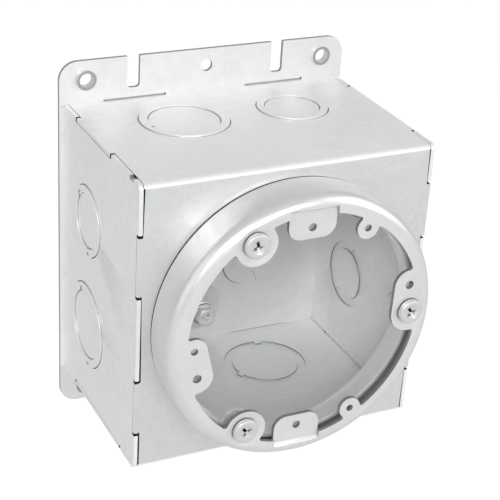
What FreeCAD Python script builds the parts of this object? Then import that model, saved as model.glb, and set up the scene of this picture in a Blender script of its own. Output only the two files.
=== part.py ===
import FreeCAD, Part
import math
import os

# Sheet-steel floor box with a back plate and an adjustable leveling ring.
# X runs to the right, Y to the rear and Z up. The origin is the centre of the back plate's rear face,
# which stands against whatever the box is fixed to, and the ring faces -Y.
# All sizes are in millimetres.

V = FreeCAD.Vector

# The round opening. Its screw holes lie on one circle, and the collar stands outside it.
HOLE_CIRCLE_RADIUS = 44.45
COLLAR_BEYOND_HOLES = 4.15
COLLAR_BEND = 7.8
COLLAR_RISE = 13.0
COLLAR_EAR_REACH = 5.3
COLLAR_EAR_WIDTH = 14.8
COLLAR_EAR_CORNER = 4.5

# The box: a folded body closed by two side walls and the back plate.
SHEET = 1.6
FRONT_MARGIN_X = 3.0
FRONT_MARGIN_Z = 2.6
BOX_DEPTH = 79.0
BODY_BEND = 2.5
WALL_REAR_ROUND = 1.2

# The seams where the side walls meet the body: fingers of one sheet lie in notches of the other.
SEAM_GAP = 0.15
SEAM_RELIEF = 1.1
FRONT_FINGER_LOW = 15.0
FRONT_FINGER_BELOW_MIDDLE = 20.0
FRONT_FINGER_ABOVE_MIDDLE = 14.0
FRONT_FINGER_HIGH = 19.5
LONG_SEAM_CORNER_FINGER = 14.0
SHORT_SEAM_CORNER_FINGER = 5.5
SHORT_SEAM_SECOND_START = 9.5
SHORT_SEAM_SECOND_END = 28.0
REAR_FINGER = 13.0

# The back plate reaches a little past the box's sides and far past its top and bottom.
PLATE_THICKNESS = 1.6
PLATE_SIDE_LIP = 2.2
PLATE_FLANGE = 17.2
PLATE_CORNER = 7.5
CORNER_HOLE_INSET_X = 10.6
CORNER_HOLE_INSET_Z = 7.5
CORNER_HOLE_RADIUS = 2.8
EYELET_WALL = 1.2
EYELET_RISE = 1.8
MIDDLE_HOLE_INSET = 6.9
MIDDLE_HOLE_RADIUS = 2.5
SLOT_SPACING = 62.2
SLOT_WIDTH = 5.2
SLOT_TO_BOX = 4.3
SLOT_CORNER = 1.4
TAB_WIDTH = 25.8
TAB_CENTRE = 30.4
TAB_END_GAP = 0.25
TAB_SLOT_PLAY = 0.6

# Knockouts: a half-sheared ring stands proud of the sheet and is held by small ties.
# A tie's angle is measured about the knockout's own axis.
KNOCKOUT_LIFT = 0.6
KNOCKOUT_LARGE = 17.45
KNOCKOUT_MEDIUM = 14.1
KNOCKOUT_SMALL = 11.1
KNOCKOUT_TIE = 3.0
SHEAR_WIDTH = 0.3
SHEAR_DEPTH = 0.5
TOP_KNOCKOUT_TO_PLATE = 27.8
TOP_LARGE_X = -21.0
TOP_LARGE_TIES = (75.0, 200.0)
TOP_MEDIUM_X = 25.0
TOP_MEDIUM_TIES = (60.0, 240.0)
SIDE_KNOCKOUT_TO_PLATE = 26.6
SIDE_LARGE_Z = -24.0
SIDE_LARGE_TIES = (190.0, 20.0)
SIDE_MEDIUM_Z = 21.6
SIDE_MEDIUM_TIES = (190.0, 40.0)
BACK_KNOCKOUT_X = 23.0
BACK_KNOCKOUT_Z = -22.0
BACK_KNOCKOUT_TIES = (200.0,)

# Shallow dents left by the spot welds near the rear corners of the top and the bottom.
DENT_X = 50.0
DENT_TO_PLATE = 14.0
DENT_SPHERE = 16.0
DENT_SINK = 0.4

# The leveling ring. It covers the collar, and its dished ears stay clear of the collar's ears.
RING_SHEET = 1.6
RING_TO_COLLAR = 4.0
RING_EAR_GAP = 2.9
RING_SHOULDER = 4.6
RING_OPENING_BEYOND_HOLES = 2.95
RING_SKIRT_CLEARANCE = 0.45
RING_CORNER = 1.0
EAR_TRIM = 1.2
LEVELING_ANGLES = (0.0, 120.0, 240.0)
COVER_ANGLES = (60.0, 180.0, 300.0)
SIDE_COVER_ANGLE = 180.0
PAIR_ANGLES = (15.0, 195.0)
LEVELING_LOBE = 8.2
COVER_LOBE = 4.4
COVER_SIDE_LOBE = 5.0
PAIR_LOBE = 6.3
COVER_HOLE_RADIUS = 1.4
PAIR_HOLE_RADIUS = 1.75
DISH_LIP = 0.3
DISH_DEPTH = 0.8
DISH_TO_HEAD = 0.2

# The two device ears, set back from the ring's face by one step.
DEVICE_HOLE_SPACING = 83.34
DEVICE_HOLE_RADIUS = 1.6
DEVICE_EAR_WIDTH = 19.0
DEVICE_EAR_REACH = 4.47
DEVICE_EAR_CORNER = 5.0
DEVICE_EAR_SETBACK = 1.3
DEVICE_STEP_BEYOND_OPENING = 1.9

# The screws. Their thread is shown as a plain shank. The leveling screws have a flat-topped pan head, and
# the grounding screw has a six-sided head on a round flange.
SCREW_RADIUS = 2.32
SCREW_RUNNING_CLEARANCE = 0.08
SCREW_EAR_CLEARANCE = 0.3
SCREW_CHAMFER = 0.6
HEAD_RADIUS = 4.9
HEAD_HEIGHT = 2.2
HEAD_SIDE = 1.3
HEAD_CROWN = 4.0
FLANGE_RADIUS = 5.2
FLANGE_HEIGHT = 0.9
HEX_WIDTH = 7.94
HEX_HEIGHT = 3.0
HEX_CROWN = 3.6
HEX_CHAMFER_ANGLE = 30.0
DRIVE_REACH = 2.6
DRIVE_FLOOR_REACH = 1.0
DRIVE_WIDTH = 1.15
DRIVE_DEPTH = 1.7
LEVELING_SCREW_LENGTH = 12.7
LEVELING_SCREW_TURNS = (-35.0, -15.0, -40.0)

# The grounding screw stands in a dimple pressed forward from the back plate.
DIMPLE_DROP = 40.5
DIMPLE_FLARE = 5.7
DIMPLE_TO_FLANGE = 0.6
DIMPLE_ROUND = 1.2
DIMPLE_RISE = 7.9
GROUND_SCREW_SETBACK = 0.8
GROUND_SCREW_TURN = 20.0

# Places that follow from the sizes above.
EXTRA = 5.0
TOLERANCE = 1e-6
COLLAR_RADIUS = HOLE_CIRCLE_RADIUS + COLLAR_BEYOND_HOLES
COLLAR_FOOT_RADIUS = COLLAR_RADIUS + COLLAR_BEND
COLLAR_INNER_RADIUS = COLLAR_RADIUS - SHEET
HALF_WIDTH = COLLAR_FOOT_RADIUS + FRONT_MARGIN_X
HALF_HEIGHT = COLLAR_FOOT_RADIUS + FRONT_MARGIN_Z
HALF_PLATE_X = HALF_WIDTH + PLATE_SIDE_LIP
HALF_PLATE_Z = HALF_HEIGHT + PLATE_FLANGE
Y_PLATE = -PLATE_THICKNESS
Y_FRONT = Y_PLATE - BOX_DEPTH
Y_RIM = Y_FRONT - COLLAR_RISE
Y_RING = Y_RIM - RING_EAR_GAP - DISH_DEPTH - RING_SHEET
RING_RADIUS = COLLAR_RADIUS + RING_TO_COLLAR + RING_SHEET
RING_OPENING_RADIUS = HOLE_CIRCLE_RADIUS + RING_OPENING_BEYOND_HOLES
DISH_RIM_RADIUS = LEVELING_LOBE - DISH_LIP
DISH_FLOOR_RADIUS = HEAD_RADIUS + DISH_TO_HEAD
DEVICE_STEP_OUTER = RING_OPENING_RADIUS + DEVICE_STEP_BEYOND_OPENING
DEVICE_EAR_INNER = DEVICE_HOLE_SPACING / 2 - DEVICE_EAR_REACH
DIMPLE_TOP_RADIUS = FLANGE_RADIUS + DIMPLE_TO_FLANGE
Y_DIMPLE = Y_PLATE - DIMPLE_RISE
THREADED_HOLE_RADIUS = SCREW_RADIUS + SCREW_RUNNING_CLEARANCE
CLEAR_HOLE_RADIUS = SCREW_RADIUS + SCREW_EAR_CLEARANCE


def block(x0, x1, y0, y1, z0, z1):
    """A box between two opposite corners."""
    return Part.makeBox(x1 - x0, y1 - y0, z1 - z0, V(x0, y0, z0))


def rod(radius, x, z, y0, y1):
    """A cylinder along Y."""
    return Part.makeCylinder(radius, y1 - y0, V(x, y0, z), V(0, 1, 0))


def frustum(radius0, radius1, x, z, y0, y1):
    """A cone along Y that goes from the first radius to the second."""
    return Part.makeCone(radius0, radius1, y1 - y0, V(x, y0, z), V(0, 1, 0))


def same(a, b):
    """Whether two lengths are equal."""
    return abs(a - b) < TOLERANCE


def ends(edge):
    """The two end points of an edge."""
    return edge.Vertexes[0].Point, edge.Vertexes[-1].Point


def polar(radius, angle):
    """X and Z of a point at an angle from +X towards +Z."""
    turn = math.radians(angle)
    return radius * math.cos(turn), radius * math.sin(turn)


def half_turn(shape):
    """A copy of the shape turned by 180 degrees about the box's Y axis."""
    turned = shape.copy()
    turned.rotate(V(0, 0, 0), V(0, 1, 0), 180)
    return turned


def quarter_arc(centre_r, centre_y, radius, start, end):
    """A circular edge in the (radius, Y) plane about a centre, between two angles in degrees."""
    points = []
    for angle in (start, (start + end) / 2, end):
        turn = math.radians(angle)
        points.append(V(centre_r + radius * math.cos(turn), centre_y + radius * math.sin(turn), 0))
    return Part.Arc(*points).toShape()


def line(r0, y0, r1, y1):
    """A straight edge in the (radius, Y) plane."""
    return Part.LineSegment(V(r0, y0, 0), V(r1, y1, 0)).toShape()


def spun(edges):
    """The solid that a closed chain of edges in the (radius, Y) plane sweeps about the Y axis."""
    face = Part.Face(Part.Wire(edges))
    return face.revolve(V(0, 0, 0), V(0, 1, 0), 360)


def rounded_plate(half_x, z0, z1, corner, y0, y1):
    """A plate across Y whose corners at the end z0 are rounded."""
    plate = block(-half_x, half_x, y0, y1, min(z0, z1), max(z0, z1))
    corners = []
    for edge in plate.Edges:
        first, last = ends(edge)
        if same(first.z, z0) and same(last.z, z0) and same(first.x, last.x):
            corners.append(edge)
    return plate.makeFillet(corner, corners)


def bent(solid, y, radius):
    """The solid with its edges along X at y rounded."""
    bends = []
    for edge in solid.Edges:
        first, last = ends(edge)
        if same(first.y, y) and same(last.y, y) and same(first.z, last.z):
            bends.append(edge)
    return solid.makeFillet(radius, bends)


def envelope():
    """The outer block of the box, with the body's two front bends."""
    outer = block(-HALF_WIDTH, HALF_WIDTH, Y_FRONT, Y_PLATE, -HALF_HEIGHT, HALF_HEIGHT)
    return bent(outer, Y_FRONT, BODY_BEND)


def channel():
    """The folded sheet: top, front and bottom in one piece, before its notches and openings."""
    half_x = HALF_WIDTH + EXTRA
    half_z = HALF_HEIGHT - SHEET
    hollow = block(-half_x, half_x, Y_FRONT + SHEET, Y_PLATE + EXTRA, -half_z, half_z)
    return envelope().cut(bent(hollow, Y_FRONT + SHEET, BODY_BEND - SHEET))


def front_spans():
    """Heights of the fingers along the left front seam: those of the wall, then those of the body."""
    wall = [
        (-HALF_HEIGHT, -HALF_HEIGHT + FRONT_FINGER_LOW),
        (-FRONT_FINGER_BELOW_MIDDLE, FRONT_FINGER_ABOVE_MIDDLE),
        (HALF_HEIGHT - FRONT_FINGER_HIGH, HALF_HEIGHT),
    ]
    body = [
        (wall[0][1] + SEAM_RELIEF, wall[1][0] - SEAM_RELIEF),
        (wall[1][1] + SEAM_RELIEF, wall[2][0] - SEAM_RELIEF),
    ]
    return wall, body


def top_spans():
    """Places in Y of the fingers along the left wall's top seam."""
    rear = Y_PLATE - REAR_FINGER
    wall = [
        (Y_FRONT, Y_FRONT + SHORT_SEAM_CORNER_FINGER),
        (Y_FRONT + SHORT_SEAM_SECOND_START, Y_FRONT + SHORT_SEAM_SECOND_END),
        (rear, Y_PLATE),
    ]
    body = [(Y_FRONT + SHORT_SEAM_SECOND_END + SEAM_RELIEF, rear - SEAM_RELIEF)]
    return wall, body


def bottom_spans():
    """Places in Y of the fingers along the left wall's bottom seam."""
    rear = Y_PLATE - REAR_FINGER
    wall = [
        (Y_FRONT, Y_FRONT + LONG_SEAM_CORNER_FINGER),
        (rear, Y_PLATE),
    ]
    body = [(Y_FRONT + LONG_SEAM_CORNER_FINGER + SEAM_RELIEF, rear - SEAM_RELIEF)]
    return wall, body


def seam_boxes(spans_index, thickness_x):
    """Boxes over the left side's seams where one of the two sheets has its fingers."""
    x0, x1 = -HALF_WIDTH, -HALF_WIDTH + thickness_x
    reach = SHEET + SEAM_GAP
    boxes = []
    for z0, z1 in front_spans()[spans_index]:
        boxes.append(block(x0, x1, Y_FRONT, Y_FRONT + reach, z0, z1))
    for y0, y1 in top_spans()[spans_index]:
        boxes.append(block(x0, x1, y0, y1, HALF_HEIGHT - reach, HALF_HEIGHT))
    for y0, y1 in bottom_spans()[spans_index]:
        boxes.append(block(x0, x1, y0, y1, -HALF_HEIGHT, -HALF_HEIGHT + reach))
    return boxes[0].fuse(boxes[1:])


def tube(point, direction, outer, inner, length):
    """A ring from a point along a direction, or a disc where the inner radius is 0."""
    ring = Part.makeCylinder(outer, length, point, direction)
    if inner > 0:
        ring = ring.cut(Part.makeCylinder(inner, length, point, direction))
    return ring


def tie_bar(point, outward, angle, near, far, thickness):
    """A bar through the sheet along one radius of a knockout, between two radii."""
    length = 2 * (thickness + KNOCKOUT_LIFT)
    bar = Part.makeBox(far - near, KNOCKOUT_TIE, length, V(near, -KNOCKOUT_TIE / 2, -length / 2))
    bar.rotate(V(0, 0, 0), V(0, 0, 1), angle)
    side = V(0, 0, 1) if same(outward.z, 0) else V(1, 0, 0)
    lean = FreeCAD.Rotation(side, outward.cross(side), outward, "ZXY")
    bar.Placement = FreeCAD.Placement(point, lean).multiply(bar.Placement)
    return bar


def knockout(sheet, thickness, point, outward, outer, inner, tie_angles):
    """Press a ring of the sheet outward and shear a fine line along each of its circles.

    point lies on the sheet's outer face. A tie crosses each circle at its own angle. With an inner radius
    of 0 the whole disc is pressed, and there is one tie.
    """
    inside = point - outward * thickness
    sheared_to = point - outward * SHEAR_DEPTH
    middle = (outer + inner) / 2
    pressed = tube(point, outward, outer, inner, KNOCKOUT_LIFT)
    cutters = [
        tube(inside, outward, outer, inner, KNOCKOUT_LIFT),
        tube(sheared_to, outward, outer + SHEAR_WIDTH, outer, SHEAR_DEPTH),
    ]
    ties = [tie_bar(point, outward, tie_angles[0], middle, outer + EXTRA, thickness)]
    if inner > 0:
        cutters.append(tube(sheared_to, outward, inner, inner - SHEAR_WIDTH, SHEAR_DEPTH))
        ties.append(tie_bar(point, outward, tie_angles[1], inner - EXTRA, middle, thickness))
    return sheet.fuse(pressed.cut(ties)).cut([cutter.cut(ties) for cutter in cutters])


def collar():
    """The round collar with its wide bend, from the front sheet to the rim."""
    foot, bend_y = COLLAR_FOOT_RADIUS, Y_FRONT - COLLAR_BEND
    edges = [
        quarter_arc(foot, bend_y, COLLAR_BEND, 90, 180),
        line(COLLAR_RADIUS, bend_y, COLLAR_RADIUS, Y_RIM),
        line(COLLAR_RADIUS, Y_RIM, COLLAR_INNER_RADIUS, Y_RIM),
        line(COLLAR_INNER_RADIUS, Y_RIM, COLLAR_INNER_RADIUS, bend_y),
        quarter_arc(foot, bend_y, COLLAR_BEND + SHEET, 180, 90),
        line(foot, Y_FRONT + SHEET, foot, Y_FRONT),
    ]
    return spun(edges)


def collar_ear(angle):
    """One ear on the collar's rim, under a leveling screw."""
    inner = HOLE_CIRCLE_RADIUS - COLLAR_EAR_REACH
    ear = rounded_plate(COLLAR_EAR_WIDTH / 2, inner, COLLAR_RADIUS, COLLAR_EAR_CORNER, Y_RIM, Y_RIM + SHEET)
    ear = ear.common(rod((COLLAR_RADIUS + COLLAR_INNER_RADIUS) / 2, 0, 0, Y_RIM, Y_RIM + SHEET))
    ear = ear.cut(rod(THREADED_HOLE_RADIUS, 0, HOLE_CIRCLE_RADIUS, Y_RIM - EXTRA, Y_RIM + EXTRA))
    ear.rotate(V(0, 0, 0), V(0, 1, 0), 90 - angle)
    return ear


def tab_places():
    """X of the two body tabs that enter the back plate, at the top and at the bottom."""
    return (-TAB_CENTRE, TAB_CENTRE)


def box_body():
    """The folded body: top, front with its collar and ears, and bottom."""
    body = channel()
    seam = SHEET + SEAM_GAP
    border = block(-HALF_WIDTH, -HALF_WIDTH + seam, Y_FRONT, Y_PLATE, -HALF_HEIGHT, HALF_HEIGHT)
    fingers = body.common(seam_boxes(1, seam))
    body = body.cut([border, half_turn(border)])
    body = body.fuse([fingers, half_turn(fingers)])
    body = body.cut(rod(COLLAR_FOOT_RADIUS, 0, 0, Y_FRONT - EXTRA, Y_FRONT + EXTRA))
    body = body.fuse([collar()] + [collar_ear(angle) for angle in LEVELING_ANGLES])
    tabs = []
    for x in tab_places():
        for z in (-HALF_HEIGHT, HALF_HEIGHT - SHEET):
            tabs.append(block(x - TAB_WIDTH / 2, x + TAB_WIDTH / 2, Y_PLATE, -TAB_END_GAP, z, z + SHEET))
    body = body.fuse(tabs).removeSplitter()
    depth = Y_PLATE - TOP_KNOCKOUT_TO_PLATE
    for turn in (1, -1):
        up = V(0, 0, turn)
        large = V(turn * TOP_LARGE_X, depth, turn * HALF_HEIGHT)
        medium = V(turn * TOP_MEDIUM_X, depth, turn * HALF_HEIGHT)
        large_ties = [turn * angle for angle in TOP_LARGE_TIES]
        medium_ties = [turn * angle for angle in TOP_MEDIUM_TIES]
        body = knockout(body, SHEET, large, up, KNOCKOUT_LARGE, KNOCKOUT_MEDIUM, large_ties)
        body = knockout(body, SHEET, medium, up, KNOCKOUT_MEDIUM, KNOCKOUT_SMALL, medium_ties)
        for x in (-DENT_X, DENT_X):
            centre = V(x, Y_PLATE - DENT_TO_PLATE, turn * (HALF_HEIGHT + DENT_SPHERE - DENT_SINK))
            body = body.cut(Part.makeSphere(DENT_SPHERE, centre))
    return body


def left_side_wall():
    """The left wall: a flat sheet with seam fingers, its outer rear edge rounded towards the plate."""
    x0, x1 = -HALF_WIDTH, -HALF_WIDTH + SHEET
    seam = SHEET + SEAM_GAP
    z_edge = HALF_HEIGHT - seam
    wall = block(x0, x1, Y_FRONT + seam, Y_PLATE, -z_edge, z_edge)
    fingers = envelope().common(seam_boxes(0, SHEET))
    wall = wall.fuse(fingers).removeSplitter()
    rear = []
    for edge in wall.Edges:
        points = ends(edge)
        if all(same(point.x, x0) and same(point.y, Y_PLATE) for point in points):
            rear.append(edge)
    wall = wall.makeFillet(WALL_REAR_ROUND, rear)
    depth = Y_PLATE - SIDE_KNOCKOUT_TO_PLATE
    out = V(-1, 0, 0)
    low, high = V(x0, depth, SIDE_LARGE_Z), V(x0, depth, SIDE_MEDIUM_Z)
    wall = knockout(wall, SHEET, low, out, KNOCKOUT_LARGE, KNOCKOUT_MEDIUM, SIDE_LARGE_TIES)
    return knockout(wall, SHEET, high, out, KNOCKOUT_MEDIUM, KNOCKOUT_SMALL, SIDE_MEDIUM_TIES)


def right_side_wall():
    """The right wall is the same part as the left one, turned end for end."""
    return half_turn(left_side_wall())


def edge_slot(x, side):
    """The cutter for one slot that is open at the plate's upper (+1) or lower (-1) edge."""
    inner = side * (HALF_HEIGHT + SLOT_TO_BOX)
    outer = side * (HALF_PLATE_Z + EXTRA)
    slot = rounded_plate(SLOT_WIDTH / 2, inner, outer, SLOT_CORNER, Y_PLATE - EXTRA, EXTRA)
    slot.translate(V(x, 0, 0))
    return slot


def tab_slot(x, side):
    """The cutter for the slot that one tab of the body enters."""
    half = TAB_WIDTH / 2 + SEAM_GAP
    inner = side * (HALF_HEIGHT - SHEET - SEAM_GAP)
    outer = side * (HALF_HEIGHT + TAB_SLOT_PLAY)
    z0, z1 = min(inner, outer), max(inner, outer)
    return block(x - half, x + half, Y_PLATE - EXTRA, EXTRA, z0, z1)


def back_plate():
    """The flat mounting plate, with its flanges above and below the box."""
    plate = block(-HALF_PLATE_X, HALF_PLATE_X, Y_PLATE, 0, -HALF_PLATE_Z, HALF_PLATE_Z)
    corners = [edge for edge in plate.Edges if not same(ends(edge)[0].y, ends(edge)[1].y)]
    plate = plate.makeFillet(PLATE_CORNER, corners)
    cutters = []
    for side in (-1, 1):
        z = side * (HALF_PLATE_Z - CORNER_HOLE_INSET_Z)
        corner_x = HALF_PLATE_X - CORNER_HOLE_INSET_X
        for x in (-corner_x, corner_x):
            eyelet = rod(CORNER_HOLE_RADIUS + EYELET_WALL, x, z, Y_PLATE - EYELET_RISE, Y_PLATE)
            plate = plate.fuse(eyelet)
            cutters.append(rod(CORNER_HOLE_RADIUS, x, z, Y_PLATE - EYELET_RISE - EXTRA, EXTRA))
        middle_z = side * (HALF_PLATE_Z - MIDDLE_HOLE_INSET)
        cutters.append(rod(MIDDLE_HOLE_RADIUS, 0, middle_z, Y_PLATE - EXTRA, EXTRA))
        for x in (-SLOT_SPACING / 2, SLOT_SPACING / 2):
            cutters.append(edge_slot(x, side))
        for x in tab_places():
            cutters.append(tab_slot(x, side))
    top, base = DIMPLE_TOP_RADIUS, DIMPLE_TOP_RADIUS + DIMPLE_FLARE
    dimple = frustum(top, base, 0, -DIMPLE_DROP, Y_DIMPLE, Y_PLATE)
    rim = [edge for edge in dimple.Edges if all(same(point.y, Y_DIMPLE) for point in ends(edge))]
    plate = plate.fuse(dimple.makeFillet(DIMPLE_ROUND, rim))
    cutters.append(frustum(top, base, 0, -DIMPLE_DROP, Y_DIMPLE + PLATE_THICKNESS, 0))
    cutters.append(rod(THREADED_HOLE_RADIUS, 0, -DIMPLE_DROP, Y_DIMPLE - EXTRA, EXTRA))
    plate = plate.cut(cutters).removeSplitter()
    forward = V(0, -1, 0)
    for turn in (1, -1):
        point = V(turn * BACK_KNOCKOUT_X, Y_PLATE, turn * BACK_KNOCKOUT_Z)
        ties = [turn * angle for angle in BACK_KNOCKOUT_TIES]
        plate = knockout(plate, PLATE_THICKNESS, point, forward, KNOCKOUT_SMALL, 0, ties)
    return plate


def tangent_bridge(first, r0, second, r1, y0, y1):
    """The plate between the outer tangents of two circles, whose centres are (X, Z) pairs."""
    dx, dz = second[0] - first[0], second[1] - first[1]
    heading = math.atan2(dz, dx)
    lean = math.acos((r0 - r1) / math.hypot(dx, dz))
    corners = []
    for (x, z), r, turn in ((first, r0, lean), (second, r1, lean), (second, r1, -lean), (first, r0, -lean)):
        corners.append(V(x + r * math.cos(heading + turn), y0, z + r * math.sin(heading + turn)))
    outline = Part.makePolygon(corners + [corners[0]])
    return Part.Face(outline).extrude(V(0, y1 - y0, 0))


def ring_shell():
    """The drawn cup of the ring: skirt, rounded shoulder and flat face with the round opening."""
    shoulder_r = RING_RADIUS - RING_SHOULDER
    shoulder_y = Y_RING + RING_SHOULDER
    skirt_inner = RING_RADIUS - RING_SHEET
    run = min(COLLAR_FOOT_RADIUS - skirt_inner, COLLAR_BEND)
    bend_height = COLLAR_BEND - math.sqrt(COLLAR_BEND ** 2 - max(run, 0) ** 2)
    skirt_end = Y_FRONT - bend_height - RING_SKIRT_CLEARANCE
    edges = [
        line(RING_OPENING_RADIUS, Y_RING, shoulder_r, Y_RING),
        quarter_arc(shoulder_r, shoulder_y, RING_SHOULDER, 270, 360),
        line(RING_RADIUS, shoulder_y, RING_RADIUS, skirt_end),
        line(RING_RADIUS, skirt_end, skirt_inner, skirt_end),
        line(skirt_inner, skirt_end, skirt_inner, shoulder_y),
        quarter_arc(shoulder_r, shoulder_y, RING_SHOULDER - RING_SHEET, 360, 270),
        line(shoulder_r, Y_RING + RING_SHEET, RING_OPENING_RADIUS, Y_RING + RING_SHEET),
        line(RING_OPENING_RADIUS, Y_RING + RING_SHEET, RING_OPENING_RADIUS, Y_RING),
    ]
    return spun(edges)


def ring_ears():
    """The flat ears on the ring's hole circle, trimmed to the ring's flat face."""
    y0, y1 = Y_RING, Y_RING + RING_SHEET
    lobes = []
    for angle in LEVELING_ANGLES:
        lobes.append(rod(LEVELING_LOBE, *polar(HOLE_CIRCLE_RADIUS, angle), y0, y1))
    for angle in COVER_ANGLES:
        lobe = COVER_SIDE_LOBE if angle == SIDE_COVER_ANGLE else COVER_LOBE
        lobes.append(rod(lobe, *polar(HOLE_CIRCLE_RADIUS, angle), y0, y1))
    neighbours = ((LEVELING_ANGLES[0], LEVELING_LOBE), (SIDE_COVER_ANGLE, COVER_SIDE_LOBE))
    for angle, (neighbour, lobe) in zip(PAIR_ANGLES, neighbours):
        first = polar(HOLE_CIRCLE_RADIUS, neighbour)
        second = polar(HOLE_CIRCLE_RADIUS, angle)
        lobes.append(rod(PAIR_LOBE, *second, y0, y1))
        lobes.append(tangent_bridge(first, lobe, second, PAIR_LOBE, y0, y1))
    return lobes[0].fuse(lobes[1:]).common(rod(RING_OPENING_RADIUS + EAR_TRIM, 0, 0, y0, y1))


def device_step(depth_shift):
    """The region in front of a device ear's stepped face at the top, moved back by depth_shift."""
    y0 = Y_RING + depth_shift
    flat_end = DEVICE_STEP_OUTER - DEVICE_EAR_SETBACK
    corners = [
        V(0, y0 - EXTRA, DEVICE_EAR_INNER - EXTRA),
        V(0, y0 - EXTRA, DEVICE_STEP_OUTER + EXTRA),
        V(0, y0, DEVICE_STEP_OUTER),
        V(0, y0 + DEVICE_EAR_SETBACK, flat_end),
        V(0, y0 + DEVICE_EAR_SETBACK, DEVICE_EAR_INNER - EXTRA),
    ]
    outline = Part.Face(Part.makePolygon(corners + [corners[0]]))
    half = DEVICE_EAR_WIDTH / 2
    region = outline.extrude(V(2 * half, 0, 0))
    region.translate(V(-half, 0, 0))
    return region


def device_ear():
    """The upper device ear with the step that joins it to the ring's face."""
    half = DEVICE_EAR_WIDTH / 2
    outer = DEVICE_STEP_OUTER + RING_SHEET
    back = Y_RING + DEVICE_EAR_SETBACK + RING_SHEET
    ear = rounded_plate(half, DEVICE_EAR_INNER, outer, DEVICE_EAR_CORNER, Y_RING, back)
    ear = ear.common(rod(RING_RADIUS - RING_SHOULDER, 0, 0, Y_RING, back))
    return ear.common(device_step(RING_SHEET))


def leveling_ring():
    """The leveling ring, with dished ears for its screws and ears for covers and devices."""
    ring = ring_shell().fuse([ring_ears()])
    ear = device_ear()
    ring = ring.fuse([ear, half_turn(ear)])
    step = device_step(0)
    ring = ring.cut([step, half_turn(step)]).removeSplitter()
    corners = []
    for edge in ring.Edges:
        first, last = ends(edge)
        on_opening = same(math.hypot(first.x, first.z), RING_OPENING_RADIUS)
        straight = same(first.x, last.x) and same(first.z, last.z)
        if on_opening and straight and same(abs(first.y - last.y), RING_SHEET):
            corners.append(edge)
    ring = ring.makeFillet(RING_CORNER, corners)
    floor = Y_RING + DISH_DEPTH
    back = Y_RING + RING_SHEET
    for angle in LEVELING_ANGLES:
        x, z = polar(HOLE_CIRCLE_RADIUS, angle)
        ring = ring.fuse(frustum(DISH_RIM_RADIUS, DISH_FLOOR_RADIUS, x, z, back, back + DISH_DEPTH))
    cutters = []
    for angle in LEVELING_ANGLES:
        x, z = polar(HOLE_CIRCLE_RADIUS, angle)
        cutters.append(frustum(DISH_RIM_RADIUS, DISH_FLOOR_RADIUS, x, z, Y_RING, floor))
        cutters.append(rod(CLEAR_HOLE_RADIUS, x, z, Y_RING - EXTRA, floor + EXTRA))
    for angles, radius in ((COVER_ANGLES, COVER_HOLE_RADIUS), (PAIR_ANGLES, PAIR_HOLE_RADIUS)):
        for angle in angles:
            x, z = polar(HOLE_CIRCLE_RADIUS, angle)
            cutters.append(rod(radius, x, z, Y_RING - EXTRA, floor + EXTRA))
    for side in (-1, 1):
        z = side * DEVICE_HOLE_SPACING / 2
        cutters.append(rod(DEVICE_HOLE_RADIUS, 0, z, Y_RING - EXTRA, floor + EXTRA))
    return ring.cut(cutters).removeSplitter()


def shank_edges(length):
    """The outline of a screw's shank, from the underside of its head to the axis at its tip."""
    tip = SCREW_RADIUS - SCREW_CHAMFER
    return [
        line(SCREW_RADIUS, 0, SCREW_RADIUS, length - SCREW_CHAMFER),
        line(SCREW_RADIUS, length - SCREW_CHAMFER, tip, length),
        line(tip, length, 0, length),
    ]


def drive_wings(top):
    """The two crossed wings of the drive recess, whose mouth is at top."""
    corners = [
        V(-DRIVE_REACH, top - EXTRA, -DRIVE_WIDTH / 2),
        V(DRIVE_REACH, top - EXTRA, -DRIVE_WIDTH / 2),
        V(DRIVE_REACH, top, -DRIVE_WIDTH / 2),
        V(DRIVE_FLOOR_REACH, top + DRIVE_DEPTH, -DRIVE_WIDTH / 2),
        V(-DRIVE_FLOOR_REACH, top + DRIVE_DEPTH, -DRIVE_WIDTH / 2),
        V(-DRIVE_REACH, top, -DRIVE_WIDTH / 2),
    ]
    wing = Part.Face(Part.makePolygon(corners + [corners[0]])).extrude(V(0, 0, DRIVE_WIDTH))
    crossed = wing.copy()
    crossed.rotate(V(0, 0, 0), V(0, 1, 0), 90)
    return wing.fuse(crossed)


def leveling_screw(index):
    """One of the three screws that set the ring's height. Its head sits on the floor of a dish."""
    top = -HEAD_HEIGHT
    middle = math.radians(45)
    shoulder = V(
        HEAD_CROWN + (HEAD_RADIUS - HEAD_CROWN) * math.cos(middle),
        -HEAD_SIDE + (top + HEAD_SIDE) * math.sin(middle),
        0,
    )
    head = [
        line(0, top, HEAD_CROWN, top),
        Part.Arc(V(HEAD_CROWN, top, 0), shoulder, V(HEAD_RADIUS, -HEAD_SIDE, 0)).toShape(),
        line(HEAD_RADIUS, -HEAD_SIDE, HEAD_RADIUS, 0),
        line(HEAD_RADIUS, 0, SCREW_RADIUS, 0),
    ]
    axis = line(0, LEVELING_SCREW_LENGTH, 0, top)
    screw = spun(head + shank_edges(LEVELING_SCREW_LENGTH) + [axis]).cut(drive_wings(top))
    screw.rotate(V(0, 0, 0), V(0, 1, 0), LEVELING_SCREW_TURNS[index])
    x, z = polar(HOLE_CIRCLE_RADIUS, LEVELING_ANGLES[index])
    screw.translate(V(x, Y_RING + DISH_DEPTH, z))
    return screw


def hexagon(width, y0, y1):
    """A six-sided prism about the Y axis with one flat at the top."""
    corners = []
    for step in range(6):
        x, z = polar(width / math.sqrt(3), 60 * step)
        corners.append(V(x, y0, z))
    outline = Part.makePolygon(corners + [corners[0]])
    return Part.Face(outline).extrude(V(0, y1 - y0, 0))


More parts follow.
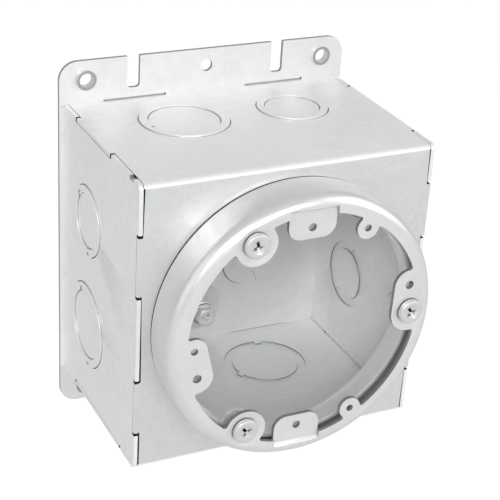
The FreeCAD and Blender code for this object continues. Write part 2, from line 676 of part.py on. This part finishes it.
def ground_screw():
    """The grounding screw, which stands on the back plate's dimple."""
    foot = -FLANGE_HEIGHT
    top = foot - HEX_HEIGHT
    length = -GROUND_SCREW_SETBACK - Y_DIMPLE
    flange = [
        line(0, foot, FLANGE_RADIUS, foot),
        line(FLANGE_RADIUS, foot, FLANGE_RADIUS, 0),
        line(FLANGE_RADIUS, 0, SCREW_RADIUS, 0),
    ]
    spread = HEX_CROWN + HEX_HEIGHT / math.tan(math.radians(HEX_CHAMFER_ANGLE))
    head = hexagon(HEX_WIDTH, top, foot).common(frustum(HEX_CROWN, spread, 0, 0, top, foot))
    body = spun(flange + shank_edges(length) + [line(0, length, 0, foot)])
    wings = drive_wings(top)
    wings.rotate(V(0, 0, 0), V(0, 1, 0), GROUND_SCREW_TURN)
    screw = body.fuse(head).removeSplitter().cut(wings)
    screw.translate(V(0, Y_DIMPLE, -DIMPLE_DROP))
    return screw


def save(name, shape):
    """Check one piece and write its file."""
    solids = shape.Solids
    if len(solids) != 1 or not shape.isValid():
        raise ValueError("%s has %d solids, valid: %s" % (name, len(solids), shape.isValid()))
    solid = solids[0]
    solid.exportStep("parts/%s.step" % name)
    box = solid.BoundBox
    print("%-18s volume %9.1f  x %7.2f %7.2f  y %7.2f %7.2f  z %7.2f %7.2f" % (
        name, solid.Volume, box.XMin, box.XMax, box.YMin, box.YMax, box.ZMin, box.ZMax))


def main():
    """Build every piece and write it under parts."""
    os.makedirs("parts", exist_ok=True)
    save("box_body", box_body())
    save("left_side_wall", left_side_wall())
    save("right_side_wall", right_side_wall())
    save("back_plate", back_plate())
    save("leveling_ring", leveling_ring())
    for index in range(len(LEVELING_ANGLES)):
        save("leveling_screw_%d" % (index + 1), leveling_screw(index))
    save("ground_screw", ground_screw())


main()
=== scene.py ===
import logging
import math
from dataclasses import dataclass, field
from enum import Enum
from typing import Any

import bmesh
import bpy
from mathutils import Matrix, Vector
from mathutils.bvhtree import BVHTree


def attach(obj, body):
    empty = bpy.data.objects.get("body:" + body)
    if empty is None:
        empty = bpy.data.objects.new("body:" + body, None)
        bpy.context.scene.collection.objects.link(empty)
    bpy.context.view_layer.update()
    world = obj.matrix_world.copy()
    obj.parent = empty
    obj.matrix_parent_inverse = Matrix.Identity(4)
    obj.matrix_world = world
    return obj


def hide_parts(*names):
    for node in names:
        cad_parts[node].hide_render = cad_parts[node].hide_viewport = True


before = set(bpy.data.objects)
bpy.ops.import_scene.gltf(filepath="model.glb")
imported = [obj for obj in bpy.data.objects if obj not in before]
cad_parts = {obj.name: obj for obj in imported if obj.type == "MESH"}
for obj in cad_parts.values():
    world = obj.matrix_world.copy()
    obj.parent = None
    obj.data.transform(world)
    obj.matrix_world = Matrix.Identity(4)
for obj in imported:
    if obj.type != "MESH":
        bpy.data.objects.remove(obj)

logging.basicConfig(level=logging.INFO, format="%(message)s")
LOG = logging.getLogger("floor_box")
MM = 0.001
SHEETS = ("box_body", "left_side_wall", "right_side_wall", "back_plate", "leveling_ring")


def linear(hex_colour: str) -> tuple[float, float, float, float]:
    """Turn an sRGB hex colour into linear RGBA.

    Args:
        hex_colour: A colour such as "c8c9ca".

    Returns:
        The linear red, green, blue and an alpha of 1.
    """
    channels = []
    for start in (0, 2, 4):
        value = int(hex_colour[start:start + 2], 16) / 255
        channels.append(value / 12.92 if value <= 0.04045 else ((value + 0.055) / 1.055) ** 2.4)
    return (*channels, 1.0)


def add_node(tree: bpy.types.NodeTree, kind: str, settings: dict[str, Any] | None = None,
             inputs: dict[str | int, Any] | None = None) -> bpy.types.Node:
    """Add one node with its settings and its inputs.

    Args:
        tree: The node tree that gets the node.
        kind: The node's Blender type name.
        settings: Attributes to set on the node itself.
        inputs: Input sockets by name or index, each with a value or the socket that feeds it.

    Returns:
        The new node.
    """
    node = tree.nodes.new(kind)
    for name, value in (settings or {}).items():
        setattr(node, name, value)
    for name, value in (inputs or {}).items():
        if isinstance(value, bpy.types.NodeSocket):
            tree.links.new(value, node.inputs[name])
        else:
            node.inputs[name].default_value = value
    return node


class Finish(Enum):
    """The record's material slots."""

    SHEET = "galvanised_sheet"
    RING = "ring_steel"
    SCREW = "screw_steel"


@dataclass(frozen=True)
class HotDipZinc:
    """Hot-dip galvanised sheet steel: a dull, pale metal skin with soft zinc crystals and faint rolling lines.

    The crystals of a modern minimised-spangle coating are 1 to 3 mm wide and hardly differ in tone. The bloom of
    zinc oxide on them scatters about half of the light, so the skin is only half metallic. The folded box's
    front, and less so the plate's flanges' front, are painted greyer as painted shade, and a dark painted-shade
    ring lies on the box's front in the gap under the ring's skirt.
    """

    name: str
    light: str = "fdfdfd"
    dark: str = "f4f5f5"
    metallic: float = 0.5
    spangle_mm: float = 2.6
    cloud_mm: float = 34.0
    rolling_mm: float = 0.5
    roughness_low: float = 0.36
    roughness_high: float = 0.46
    bump_mm: float = 0.012
    # The band between the seat radii, in front of the given Y, is painted near black: painted shade in the gap
    # under the ring's skirt.
    seat_mm: tuple[float, float] = (0.0, 0.0)
    painted_gap_shade_front_mm: float = -80.65
    painted_gap_shade_colour: str = "2e3032"
    front_mm: float = -80.5
    # The front between two radii, or the front of the plate's flanges beyond flange_mm, is painted greyer:
    # painted shade.
    painted_shade_band_mm: tuple[float, float] = (0.0, 0.0)
    flange_mm: float = 0.0
    painted_shade_colour: str = "e0e1e1"

    def ring_band(self, tree: bpy.types.NodeTree, place: bpy.types.NodeSocket, inner_mm: float,
                  outer_mm: float, front_mm: float) -> bpy.types.NodeSocket:
        """Find the part of the front that lies between two circles about the box's axis.

        Args:
            tree: The material's node tree.
            place: The point on the piece.
            inner_mm: The smaller radius.
            outer_mm: The larger radius.
            front_mm: The Y in front of which the band lies.

        Returns:
            1 in the band, and 0 elsewhere.
        """
        flat = add_node(tree, "ShaderNodeVectorMath", {"operation": "MULTIPLY"}, {0: place, 1: (1.0, 0.0, 1.0)})
        radius = add_node(tree, "ShaderNodeVectorMath", {"operation": "LENGTH"}, {0: flat.outputs["Vector"]})
        band = add_node(tree, "ShaderNodeMath", {"operation": "COMPARE"},
                        {0: radius.outputs["Value"], 1: (inner_mm + outer_mm) / 2 * MM,
                         2: (outer_mm - inner_mm) / 2 * MM})
        depth = add_node(tree, "ShaderNodeSeparateXYZ", None, {"Vector": place})
        front = add_node(tree, "ShaderNodeMath", {"operation": "LESS_THAN"},
                         {0: depth.outputs["Y"], 1: front_mm * MM})
        both = add_node(tree, "ShaderNodeMath", {"operation": "MULTIPLY"},
                        {0: band.outputs["Value"], 1: front.outputs["Value"]})
        return both.outputs["Value"]

    def flanges(self, tree: bpy.types.NodeTree, place: bpy.types.NodeSocket) -> bpy.types.NodeSocket:
        """Find the front of the parts of the plate that stand out above and below the box.

        Args:
            tree: The material's node tree.
            place: The point on the piece.

        Returns:
            1 on the flanges' front, and 0 elsewhere.
        """
        parts = add_node(tree, "ShaderNodeSeparateXYZ", None, {"Vector": place})
        height = add_node(tree, "ShaderNodeMath", {"operation": "ABSOLUTE"}, {0: parts.outputs["Z"]})
        beyond = add_node(tree, "ShaderNodeMath", {"operation": "GREATER_THAN"},
                          {0: height.outputs["Value"], 1: self.flange_mm * MM})
        front = add_node(tree, "ShaderNodeMath", {"operation": "LESS_THAN"},
                         {0: parts.outputs["Y"], 1: self.front_mm * MM})
        both = add_node(tree, "ShaderNodeMath", {"operation": "MULTIPLY"},
                        {0: beyond.outputs["Value"], 1: front.outputs["Value"]})
        return both.outputs["Value"]

    def build(self) -> bpy.types.Material:
        """Make the material from its node tree."""
        material = bpy.data.materials.new(self.name)
        material.use_nodes = True
        tree = material.node_tree
        tree.nodes.clear()
        place = add_node(tree, "ShaderNodeTexCoord").outputs["Object"]
        cells = add_node(tree, "ShaderNodeTexVoronoi", {"feature": "F1"},
                         {"Vector": place, "Scale": 1 / (self.spangle_mm * MM), "Randomness": 1.0})
        crystal = add_node(tree, "ShaderNodeSeparateColor", None, {"Color": cells.outputs["Color"]})
        cloud = add_node(tree, "ShaderNodeTexNoise", None,
                         {"Vector": place, "Scale": 1 / (self.cloud_mm * MM), "Detail": 4.0,
                          "Roughness": 0.55})
        grain = add_node(tree, "ShaderNodeTexNoise", None,
                         {"Vector": place, "Scale": 1 / (self.rolling_mm * MM), "Detail": 2.0,
                          "Roughness": 0.5})
        blend = add_node(tree, "ShaderNodeMix", {"data_type": "FLOAT"},
                         {"Factor": 0.25, 2: cloud.outputs["Fac"], 3: crystal.outputs["Red"]})
        tone = add_node(tree, "ShaderNodeMapRange", None,
                        {"Value": blend.outputs[0], "From Min": 0.3, "From Max": 0.7})
        colour = add_node(tree, "ShaderNodeMix", {"data_type": "RGBA"},
                          {"Factor": tone.outputs["Result"], 6: linear(self.dark), 7: linear(self.light)})
        # Painted shade: the front band or the flanges' front is multiplied by a grey.
        painted_shade_mask = None
        if self.painted_shade_band_mm[1] > 0:
            painted_shade_mask = self.ring_band(tree, place, *self.painted_shade_band_mm, self.front_mm)
        elif self.flange_mm > 0:
            painted_shade_mask = self.flanges(tree, place)
        if painted_shade_mask is not None:
            colour = add_node(tree, "ShaderNodeMix", {"data_type": "RGBA", "blend_type": "MULTIPLY"},
                              {"Factor": painted_shade_mask, 6: colour.outputs[2], 7: linear(self.painted_shade_colour)})
        # Painted shade: a dark ring where the ring's skirt sits on the box's front.
        if self.seat_mm[1] > 0:
            seat = self.ring_band(tree, place, *self.seat_mm, self.painted_gap_shade_front_mm)
            colour = add_node(tree, "ShaderNodeMix", {"data_type": "RGBA"},
                              {"Factor": seat, 6: colour.outputs[2], 7: linear(self.painted_gap_shade_colour)})
        shine = add_node(tree, "ShaderNodeMapRange", None,
                         {"Value": crystal.outputs["Green"], "To Min": self.roughness_low,
                          "To Max": self.roughness_high})
        bump = add_node(tree, "ShaderNodeBump", None,
                        {"Strength": 0.35, "Distance": self.bump_mm * MM,
                         "Height": grain.outputs["Fac"]})
        shader = add_node(tree, "ShaderNodeBsdfPrincipled", None,
                          {"Base Color": colour.outputs[2], "Metallic": self.metallic,
                           "Roughness": shine.outputs["Result"], "Normal": bump.outputs["Normal"]})
        add_node(tree, "ShaderNodeOutputMaterial", None, {"Surface": shader.outputs["BSDF"]})
        return material


@dataclass(frozen=True)
class BrightZinc:
    """Zinc-plated machine screw: an even, neutral grey with a soft shine and slight wear."""

    name: str
    colour: str = "dadada"
    metallic: float = 0.6
    roughness: float = 0.4

    def build(self) -> bpy.types.Material:
        """Make the material from its node tree."""
        material = bpy.data.materials.new(self.name)
        material.use_nodes = True
        tree = material.node_tree
        tree.nodes.clear()
        place = add_node(tree, "ShaderNodeTexCoord").outputs["Object"]
        wear = add_node(tree, "ShaderNodeTexNoise", None,
                        {"Vector": place, "Scale": 1 / (1.5 * MM), "Detail": 3.0})
        shine = add_node(tree, "ShaderNodeMapRange", None,
                         {"Value": wear.outputs["Fac"], "To Min": self.roughness - 0.08,
                          "To Max": self.roughness + 0.12})
        shader = add_node(tree, "ShaderNodeBsdfPrincipled", None,
                          {"Base Color": linear(self.colour), "Metallic": self.metallic,
                           "Roughness": shine.outputs["Result"]})
        add_node(tree, "ShaderNodeOutputMaterial", None, {"Surface": shader.outputs["BSDF"]})
        return material


@dataclass(frozen=True)
class ShearedEdge:
    """Bare steel where the zinc-coated sheet was sheared or punched: darker, greyer and rougher than its faces.

    The break shows as fine streaks across the sheet's thickness, 0.2 mm apart. A much darker copy is painted
    shade in the seams between sheets.
    """

    name: str
    light: str
    dark: str
    streak_mm: float = 0.2
    metallic: float = 0.6
    roughness: float = 0.5

    def build(self) -> bpy.types.Material:
        """Make the material from its node tree."""
        material = bpy.data.materials.new(self.name)
        material.use_nodes = True
        tree = material.node_tree
        tree.nodes.clear()
        place = add_node(tree, "ShaderNodeTexCoord").outputs["Object"]
        streaks = add_node(tree, "ShaderNodeTexNoise", None,
                           {"Vector": place, "Scale": 1 / (self.streak_mm * MM), "Detail": 2.0})
        colour = add_node(tree, "ShaderNodeMix", {"data_type": "RGBA"},
                          {"Factor": streaks.outputs["Fac"], 6: linear(self.dark), 7: linear(self.light)})
        shader = add_node(tree, "ShaderNodeBsdfPrincipled", None,
                          {"Base Color": colour.outputs[2], "Metallic": self.metallic,
                           "Roughness": self.roughness})
        add_node(tree, "ShaderNodeOutputMaterial", None, {"Surface": shader.outputs["BSDF"]})
        return material


@dataclass
class Workshop:
    """Makes the finishes once and hands them to the pieces."""

    materials: dict[Finish, bpy.types.Material] = field(default_factory=dict)
    painted_shade_sheets: dict[str, bpy.types.Material] = field(default_factory=dict)
    ground: bpy.types.Material | None = None
    bare: list[bpy.types.Material] = field(default_factory=list)

    def prepare(self) -> None:
        """Build one material for each finish, and those of the sheets with painted shade, the ground screw
        painted lighter and bare edges.
        """
        # The box's front and the plate's flanges' front are painted greyer as painted shade, and the box also
        # gets a dark painted-shade ring under the ring's skirt.
        self.painted_shade_sheets["box_body"] = HotDipZinc("hot_dip_zinc_folded_painted_shade", seat_mm=(52.4, 54.0),
                                            painted_shade_band_mm=(50.0, 90.0)).build()
        self.painted_shade_sheets["back_plate"] = HotDipZinc("hot_dip_zinc_plate_painted_shade", flange_mm=58.0, front_mm=-0.8,
                                              painted_shade_colour="efefef").build()
        # The second bare steel is darkened nearly to black: painted shade in the seams and at the screws' feet.
        self.bare = [ShearedEdge("sheared_steel_edge", "b8babc", "8c8f92").build(),
                     ShearedEdge("sheared_steel_painted_seam_shade", "45484b", "2c2e30").build()]
        self.materials[Finish.SHEET] = HotDipZinc("hot_dip_zinc_sheet").build()
        self.materials[Finish.RING] = HotDipZinc(
            "hot_dip_zinc_drawn", light="ebebeb", dark="e5e6e6", metallic=0.65, roughness_low=0.29,
            roughness_high=0.32).build()
        self.materials[Finish.SCREW] = BrightZinc("bright_zinc_plate").build()
        # The grounding screw gets a lighter copy of the screw plating: painted light, since the box's inside is
        # lit dimly.
        self.ground = BrightZinc("bright_zinc_painted_lighter", colour="f0f0f0", metallic=0.5).build()

    def dress(self, piece: bpy.types.Object, finish: Finish) -> None:
        """Give a piece one material on every slot.

        Args:
            piece: The object to dress.
            finish: The finish that it gets.
        """
        piece.data.materials.clear()
        piece.data.materials.append(self.materials[finish])

    def dress_screw(self, piece: bpy.types.Object, painted_lighter: bool) -> None:
        """Give a screw its plating, and the dark seam steel on the faces marked 1, at the foot of its head, as
        painted shadow.

        Args:
            piece: The object to dress.
            painted_lighter: Whether it is the grounding screw, which gets the plating's lighter copy as painted
                light.
        """
        marks = [face.material_index for face in piece.data.polygons]
        self.dress(piece, Finish.SCREW)
        # Painted light: the grounding screw's plating is swapped for the lighter copy.
        if painted_lighter:
            piece.data.materials[0] = self.ground
        # Painted shadow: the foot of the head gets the near-black seam material.
        piece.data.materials.append(self.bare[1])
        piece.data.polygons.foreach_set("material_index", marks)

    def dress_sheet(self, piece: bpy.types.Object, finish: Finish, node: str) -> None:
        """Give a sheet piece its finish, bare steel on the faces marked 1, and bare steel darkened as painted
        seam shade on the faces marked 2.

        Args:
            piece: The object to dress.
            finish: The finish of its coated faces.
            node: The node that it stands for, which may have its own finish with painted shade.
        """
        marks = [face.material_index for face in piece.data.polygons]
        self.dress(piece, finish)
        piece.data.materials[0] = self.painted_shade_sheets.get(node, self.materials[finish])
        for material in self.bare:
            piece.data.materials.append(material)
        piece.data.polygons.foreach_set("material_index", marks)


@dataclass
class SheetPart:
    """A piece of pressed sheet: its CAD solid with merged facets, soft edges and true bend shading."""

    node: str
    body: str
    finish: Finish
    edge_mm: float = 0.2
    smooth_below: float = math.radians(32)
    sharp_above: float = math.radians(50)
    sheet_mm: float = 1.75
    step_mm: float = 1.0
    seam_mm: float = 1.3
    front_mm: float = -80.4
    corner_mm: tuple[float, float] = (57.0, 58.5)
    lip_mm: float = 0.45
    bare_edges: bool = False

    def others(self) -> BVHTree:
        """Gather the faces of every sheet in one tree, to find what stands close to a face."""
        crowd = bmesh.new()
        for node in SHEETS:
            crowd.from_mesh(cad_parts[node].data)
        tree = BVHTree.FromBMesh(crowd)
        crowd.free()
        return tree

    def mark_sheared(self, shape: bmesh.types.BMesh) -> None:
        """Mark the sheared faces, which lie between two sharp edges no further apart than the sheet is thick.

        A face that looks at another sheet across a seam is marked 2, for bare steel darkened as painted seam
        shade, and an open one 1. The open edges of the folded box are left as they are, because zinc covers
        them.

        Args:
            shape: The merged mesh of the piece.
        """
        tree = self.others()
        for face in shape.faces:
            sharp = sum(edge.calc_length() for edge in face.edges
                        if edge.calc_face_angle(0.0) > self.sharp_above)
            width = 2 * face.calc_area() / sharp if sharp else 1.0
            if width > self.sheet_mm * MM:
                continue
            start = face.calc_center_median() + face.normal * 0.01 * MM
            if tree.ray_cast(start, face.normal, self.seam_mm * MM)[0] is not None:
                face.material_index = 2
            elif self.bare_edges or width < self.step_mm * MM:
                face.material_index = 1

    def paint_lip_shade(self, shape: bmesh.types.BMesh) -> None:
        """Break the lips of the seams beside the front corners and mark them dark, as painted shade in the
        seams.

        Args:
            shape: The merged and marked mesh of the piece.
        """
        near, far = (limit * MM for limit in self.corner_mm)
        lips = [edge for edge in shape.edges
                if any(face.material_index == 2 for face in edge.link_faces)
                and all(vert.co.y < self.front_mm * MM and near < abs(vert.co.x) < far for vert in edge.verts)]
        if lips:
            broken = bmesh.ops.bevel(shape, geom=lips, offset=self.lip_mm * MM, segments=1, profile=0.5,
                                     affect="EDGES", material=-1)
            LOG.info("%s has %d dark lips", self.node, len(lips))
            for face in broken["faces"]:
                face.material_index = 2

    def build(self, workshop: Workshop) -> bpy.types.Object:
        """Copy the node's mesh, merge it and round its edges.

        Args:
            workshop: The finishes.

        Returns:
            The piece that stands for the node.
        """
        shape = bmesh.new()
        shape.from_mesh(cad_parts[self.node].data)
        bmesh.ops.remove_doubles(shape, verts=shape.verts, dist=1e-6)
        bmesh.ops.dissolve_limit(shape, angle_limit=math.radians(0.6), verts=shape.verts,
                                 edges=shape.edges)
        self.mark_sheared(shape)
        self.paint_lip_shade(shape)
        mesh = bpy.data.meshes.new(self.node + "_pressed")
        shape.to_mesh(mesh)
        shape.free()
        piece = bpy.data.objects.new(self.node + "_pressed", mesh)
        bpy.context.scene.collection.objects.link(piece)
        mesh.shade_smooth()
        mesh.set_sharp_from_angle(angle=self.smooth_below)
        bevel = piece.modifiers.new("broken_edges", "BEVEL")
        bevel.width = self.edge_mm * MM
        bevel.segments = 2
        bevel.limit_method = "ANGLE"
        bevel.angle_limit = self.smooth_below
        bevel.harden_normals = True
        workshop.dress_sheet(piece, self.finish, self.node)
        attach(piece, self.body)
        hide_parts(self.node)
        return piece


@dataclass
class ThreadedScrew:
    """A machine screw: its head from the CAD solid, and a rolled thread cut on its shank."""

    node: str
    body: str
    axis_mm: tuple[float, float]
    seat_mm: float
    tip_mm: float
    crest_mm: float = 2.32
    root_mm: float = 1.9
    pitch_mm: float = 0.79
    steps: int = 20
    chamfer_mm: float = 0.6
    contact_mm: float = 0.5
    smooth_below: float = math.radians(32)

    def mark_foot(self, shape: bmesh.types.BMesh) -> None:
        """Split off the foot of the head's side, which stands in its dish, and mark it for a dark painted
        shadow.

        Args:
            shape: The mesh of the head.
        """
        foot = (self.seat_mm - self.contact_mm) * MM
        everything = shape.verts[:] + shape.edges[:] + shape.faces[:]
        bmesh.ops.bisect_plane(shape, geom=everything, plane_co=(0, foot, 0), plane_no=(0, 1, 0))
        for face in shape.faces:
            if face.calc_center_median().y > foot and abs(face.normal.y) < 0.3:
                face.material_index = 1

    def head(self, shape: bmesh.types.BMesh) -> None:
        """Take the head from the CAD mesh and cut its shank off.

        Args:
            shape: The empty mesh that gets the head.
        """
        shape.from_mesh(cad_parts[self.node].data)
        bmesh.ops.remove_doubles(shape, verts=shape.verts, dist=1e-6)
        bmesh.ops.dissolve_limit(shape, angle_limit=math.radians(0.6), verts=shape.verts,
                                 edges=shape.edges)
        everything = shape.verts[:] + shape.edges[:] + shape.faces[:]
        bmesh.ops.bisect_plane(shape, geom=everything, plane_co=(0, (self.seat_mm + 0.02) * MM, 0),
                               plane_no=(0, 1, 0), clear_outer=True)

    def core(self, shape: bmesh.types.BMesh) -> None:
        """Add the shank's core with its chamfered point.

        Args:
            shape: The mesh that holds the head.
        """
        start = self.seat_mm - 0.5
        waist = self.tip_mm - self.chamfer_mm
        for low, high, radius0, radius1 in (
                (start, waist, self.root_mm, self.root_mm),
                (waist, self.tip_mm, self.root_mm, self.root_mm - self.chamfer_mm / 2)):
            turn = Matrix.Rotation(math.radians(-90), 4, "X")
            middle = Matrix.Translation((self.axis_mm[0] * MM, (low + high) / 2 * MM,
                                         self.axis_mm[1] * MM))
            bmesh.ops.create_cone(shape, cap_ends=True, segments=32, radius1=radius0 * MM,
                                  radius2=radius1 * MM, depth=(high - low) * MM,
                                  matrix=middle @ turn)

    def thread(self, shape: bmesh.types.BMesh) -> None:
        """Wind the ridge of the thread round the core.

        Args:
            shape: The mesh that holds the head and the core.
        """
        x, z = self.axis_mm
        first = self.seat_mm + 0.1
        turns = (self.tip_mm - 0.5 - first - self.pitch_mm) / self.pitch_mm
        profile = [shape.verts.new(((x + radius) * MM, (first + rise) * MM, z * MM))
                   for radius, rise in ((self.root_mm - 0.05, 0.0), (self.crest_mm, self.pitch_mm * 0.44),
                                        (self.crest_mm, self.pitch_mm * 0.56),
                                        (self.root_mm - 0.05, self.pitch_mm))]
        edges = [shape.edges.new((profile[i], profile[i - 1])) for i in range(len(profile))]
        count = round(turns * self.steps)
        bmesh.ops.spin(shape, geom=profile + edges, cent=(x * MM, 0, z * MM), axis=(0, 1, 0),
                       dvec=(0, self.pitch_mm * MM / self.steps, 0),
                       angle=math.tau * count / self.steps, steps=count, use_merge=False)
        bmesh.ops.holes_fill(shape, edges=[edge for edge in shape.edges if edge.is_boundary], sides=4)

    def build(self, workshop: "Workshop") -> bpy.types.Object:
        """Make the screw and let it stand for its node.

        Args:
            workshop: The finishes.

        Returns:
            The screw.
        """
        shape = bmesh.new()
        self.thread(shape)
        self.core(shape)
        bmesh.ops.recalc_face_normals(shape, faces=shape.faces)
        whole = bmesh.new()
        self.head(whole)
        self.mark_foot(whole)
        shank = bpy.data.meshes.new("shank")
        shape.to_mesh(shank)
        shape.free()
        whole.from_mesh(shank)
        bpy.data.meshes.remove(shank)
        mesh = bpy.data.meshes.new(self.node + "_threaded")
        whole.to_mesh(mesh)
        whole.free()
        mesh.shade_smooth()
        mesh.set_sharp_from_angle(angle=self.smooth_below)
        piece = bpy.data.objects.new(self.node + "_threaded", mesh)
        bpy.context.scene.collection.objects.link(piece)
        workshop.dress_screw(piece, self.body == "box")
        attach(piece, self.body)
        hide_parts(self.node)
        return piece


@dataclass
class Studio:
    """The pale floor, the soft lights and the camera at the photograph's angle."""

    floor_z: float = -0.30
    table_glow: float = 0.32
    table_white: float = 0.75
    tent_glow: float = 0.52
    camera_place: Vector = field(default_factory=lambda: Vector((-0.2266, -0.4944, 0.2602)))
    back: Vector = field(default_factory=lambda: Vector((-0.3973, -0.7969, 0.4549)))
    roll: float = math.radians(3.38)
    lens: float = 102.9
    shift: tuple[float, float] = (0.0239, 0.0189)

    def floor(self) -> None:
        """Lay the floor. It looks white, as the photograph's ground, and lights the box as grey."""
        shape = bmesh.new()
        bmesh.ops.create_grid(shape, x_segments=1, y_segments=1, size=6.0)
        bmesh.ops.translate(shape, verts=shape.verts, vec=(0, 0, self.floor_z))
        mesh = bpy.data.meshes.new("floor")
        shape.to_mesh(mesh)
        shape.free()
        plane = bpy.data.objects.new("floor", mesh)
        bpy.context.scene.collection.objects.link(plane)
        material = bpy.data.materials.new("white_paper")
        material.use_nodes = True
        tree = material.node_tree
        tree.nodes.clear()
        seen = add_node(tree, "ShaderNodeLightPath").outputs["Is Camera Ray"]
        glow = add_node(tree, "ShaderNodeMix", {"data_type": "FLOAT"},
                        {"Factor": seen, 2: self.table_glow, 3: self.table_white})
        shader = add_node(tree, "ShaderNodeBsdfPrincipled", None,
                          {"Base Color": linear("a8a8a8"), "Roughness": 0.9,
                           "Emission Color": linear("ffffff"), "Emission Strength": glow.outputs[0]})
        add_node(tree, "ShaderNodeOutputMaterial", None, {"Surface": shader.outputs["BSDF"]})
        plane.data.materials.append(material)

    def lamp(self, name: str, place: tuple[float, float, float], size: float, power: float,
             target: tuple[float, float, float] = (0.0, -0.05, 0.0)) -> None:
        """Hang one square soft light.

        Args:
            name: The light's name.
            place: Where it hangs, in metres.
            size: The side of its square, in metres.
            power: Its power in watts.
            target: The point that it is turned to, which is the box unless it says otherwise.
        """
        light = bpy.data.lights.new(name, "AREA")
        light.shape = "SQUARE"
        light.size = size
        light.energy = power
        holder = bpy.data.objects.new(name, light)
        bpy.context.scene.collection.objects.link(holder)
        holder.location = place
        aim = Vector(target) - Vector(place)
        holder.rotation_euler = aim.to_track_quat("-Z", "Y").to_euler()

    def world(self) -> None:
        """Surround the scene with white cloth, which looks white and lights the box only faintly."""
        world = bpy.data.worlds.new("white_tent")
        world.use_nodes = True
        tree = world.node_tree
        tree.nodes.clear()
        seen = add_node(tree, "ShaderNodeLightPath").outputs["Is Camera Ray"]
        strength = add_node(tree, "ShaderNodeMix", {"data_type": "FLOAT"},
                            {"Factor": seen, 2: self.tent_glow, 3: 1.0})
        glow = add_node(tree, "ShaderNodeBackground", None,
                        {"Color": linear("ffffff"), "Strength": strength.outputs[0]})
        add_node(tree, "ShaderNodeOutputWorld", None, {"Surface": glow.outputs["Background"]})
        bpy.context.scene.world = world

    def camera(self) -> None:
        """Set up the camera where the photograph was taken."""
        data = bpy.data.cameras.new("camera")
        data.sensor_width = 36.0
        data.lens = self.lens
        data.shift_x, data.shift_y = self.shift
        data.clip_start, data.clip_end = 0.01, 50.0
        data.dof.use_dof = False
        holder = bpy.data.objects.new("camera", data)
        bpy.context.scene.collection.objects.link(holder)
        back = self.back.normalized()
        side = Vector((-back.y, back.x, 0)).normalized()
        up = back.cross(side)
        right = side * math.cos(self.roll) + up * math.sin(self.roll)
        up = up * math.cos(self.roll) - side * math.sin(self.roll)
        turn = Matrix((right, up, back)).transposed()
        holder.rotation_mode = "QUATERNION"
        holder.rotation_quaternion = turn.to_quaternion()
        holder.location = self.camera_place
        bpy.context.scene.camera = holder

    def build(self) -> None:
        """Set the whole stage."""
        self.floor()
        self.world()
        bpy.context.scene.view_settings.view_transform = "Standard"
        self.lamp("softbox_behind_camera", (-0.8, -1.62, 0.93), 0.5, 11.8)
        self.lamp("softbox_front", (0.3, -1.9, 0.6), 0.8, 7.0)
        self.lamp("softbox_left", (-1.9, -0.5, 0.7), 1.6, 4.0)
        self.lamp("softbox_right", (1.5, -0.9, 0.7), 1.4, 7.5)
        self.lamp("softbox_behind", (0.8, 1.55, 0.9), 1.2, 0.6)
        self.camera()


def main() -> None:
    """Build the box, the ring, the screws and the studio in order."""
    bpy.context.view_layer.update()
    workshop = Workshop()
    workshop.prepare()
    parts = [SheetPart(node, "box", Finish.SHEET, bare_edges=node == "back_plate") for node in SHEETS[:4]]
    parts.append(SheetPart("leveling_ring", "ring", Finish.RING, bare_edges=True))
    for part in parts:
        LOG.info("made %s", part.build(workshop).name)
    for index, degrees in enumerate((0.0, 120.0, 240.0)):
        turn = math.radians(degrees)
        axis = (44.45 * math.cos(turn), 44.45 * math.sin(turn))
        screw = ThreadedScrew("leveling_screw_%d" % (index + 1), "ring", axis, -98.1, -85.4)
        LOG.info("made %s", screw.build(workshop).name)
    ground = ThreadedScrew("ground_screw", "box", (0.0, -40.5), -9.5, -0.8)
    LOG.info("made %s", ground.build(workshop).name)
    Studio().build()


if __name__ == "__main__":
    main()
